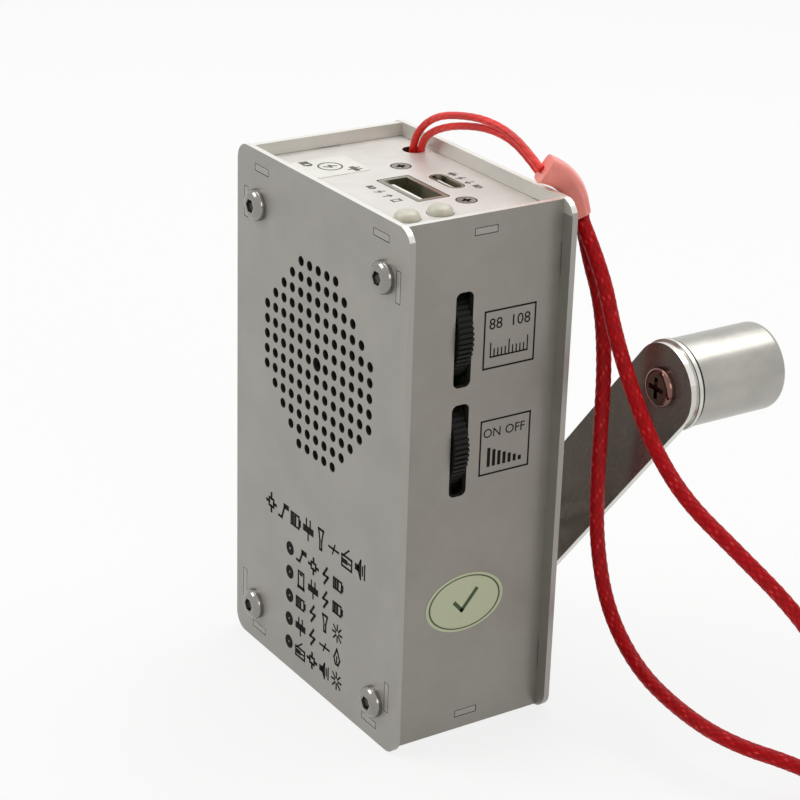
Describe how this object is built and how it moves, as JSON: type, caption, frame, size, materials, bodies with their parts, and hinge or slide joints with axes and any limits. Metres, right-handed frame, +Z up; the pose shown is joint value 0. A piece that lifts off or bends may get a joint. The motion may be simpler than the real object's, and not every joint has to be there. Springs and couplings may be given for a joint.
{
  "type": "hand crank generator",
  "caption": "Pocket hand crank generator in a sheet steel case, with a speaker, thumb wheels, USB sockets, a crank with a turning grip, and a wrist strap.",
  "frame": {"origin": "middle of the case's footprint, on the surface it stands on", "axes": "+X to the right along the front plate, +Y from the front plate (speaker) towards the crank, +Z up"},
  "size_m": [0.1348, 0.1046, 0.1156],
  "materials": {
    "steel_plate": "satin",
    "bright_screws": "polished",
    "inner_steel": "satin",
    "arm_steel": "polished",
    "grip_alloy": "turned satin",
    "grip_fittings": "satin",
    "bush_brass": "plain",
    "gear_plastic": "moulded",
    "rotor_magnet": "plain",
    "copper_winding": "wound wire",
    "wheel_black": "ribbed",
    "control_body": "moulded",
    "circuit_board": "lacquered",
    "socket_shell": "plated",
    "socket_tongue": "moulded",
    "lamp_clear": "frosted",
    "lens_clear": "clear",
    "torch_silver": "bright",
    "switch_black": "moulded",
    "ceramic": "fired",
    "electrode_metal": "plain",
    "battery_wrap": "shrink wrap",
    "speaker_black": "matt",
    "speaker_paper": "pressed paper",
    "thread_red": "twisted",
    "bead_red": "moulded",
    "strap_red": "braided"
  },
  "bodies": {
    "case": {"front_plate": "steel_plate", "back_plate": "steel_plate", "left_plate": "steel_plate", "right_plate": "steel_plate", "top_plate": "steel_plate", "bottom_plate": "steel_plate", "corner_bolts": "bright_screws", "corner_nuts": "bright_screws", "lid_screws": "bright_screws", "gearbox_screws": "bright_screws", "gearbox_plate": "inner_steel", "gearbox_pillars": "inner_steel", "idler_axle": "inner_steel", "board_posts": "inner_steel", "generator_can": "inner_steel", "generator_endplate": "inner_steel", "shaft_bushes": "bush_brass", "speaker_magnet": "rotor_magnet", "ferrite_rod": "rotor_magnet", "generator_stator": "copper_winding", "aerial_coil": "copper_winding", "tuning_capacitor": "control_body", "volume_control": "control_body", "aerial_clips": "control_body", "radio_board": "circuit_board", "usb_board": "circuit_board", "side_board": "circuit_board", "usb_a_shell": "socket_shell", "usb_c_shell": "socket_shell", "usb_tongues": "socket_tongue", "indicator_leds": "lamp_clear", "torch_lens": "lens_clear", "torch_housing": "torch_silver", "igniter_insert": "ceramic", "igniter_electrodes": "electrode_metal", "battery_pack": "battery_wrap", "speaker_frame": "speaker_black", "speaker_cone": "speaker_paper", "thread_upper": "thread_red", "thread_lower": "thread_red", "lanyard_knot": "thread_red", "lanyard_bead": "bead_red", "lanyard_strap": "strap_red"},
    "crank": {"crank_gear": "gear_plastic", "crank_shaft": "inner_steel", "crank_hub": "grip_fittings", "hub_set_screw": "bright_screws", "crank_arm": "arm_steel", "crank_screw": "bright_screws", "grip_screw": "bright_screws", "grip_washer": "grip_fittings", "grip_spindle": "grip_fittings"},
    "grip": {"handle_grip": "grip_alloy", "grip_cap": "grip_alloy"},
    "idler": {"idler_gear": "gear_plastic"},
    "rotor": {"generator_rotor": "rotor_magnet"},
    "tuning": {"tuning_wheel": "wheel_black"},
    "volume": {"volume_wheel": "wheel_black"},
    "torch_slider": {"torch_switch": "switch_black"},
    "igniter_key": {"igniter_button": "switch_black"}
  },
  "joints": [
    {"name": "crank_turn", "type": "hinge", "parent": "case", "child": "crank", "pos_m": [0, 0, 0.0206], "axis": [0, 1, 0], "continuous": true},
    {"name": "grip_spin", "type": "hinge", "parent": "crank", "child": "grip", "pos_m": [0.03948, 0.036, 0.0697], "axis": [0, 1, 0], "continuous": true},
    {"name": "idler_spin", "type": "hinge", "parent": "case", "child": "idler", "pos_m": [-0.0032, 0, 0.03872], "axis": [0, 1, 0], "continuous": true},
    {"name": "rotor_spin", "type": "hinge", "parent": "case", "child": "rotor", "pos_m": [0.01335, 0, 0.0358], "axis": [0, 1, 0], "continuous": true},
    {"name": "tuning_turn", "type": "hinge", "parent": "case", "child": "tuning", "pos_m": [0.0193, -0.0041, 0.0824], "axis": [0, 1, 0], "range_deg": [-90, 90]},
    {"name": "volume_turn", "type": "hinge", "parent": "case", "child": "volume", "pos_m": [0.0193, -0.0041, 0.0603], "axis": [0, 1, 0], "range_deg": [0, 270]},
    {"name": "torch_slide", "type": "slide", "parent": "case", "child": "torch_slider", "axis": [0, 0, 1], "range_m": [0, 0.0035]},
    {"name": "igniter_press", "type": "slide", "parent": "case", "child": "igniter_key", "axis": [1, 0, 0], "range_m": [0, 0.0009], "stiffness_N_per_m": 300, "springref_m": -0.0005}
  ],
  "couplings": [
    {"joint": "idler_spin", "follows": "crank_turn", "ratio": -3.6},
    {"joint": "rotor_spin", "follows": "crank_turn", "ratio": 11.52}
  ]
}
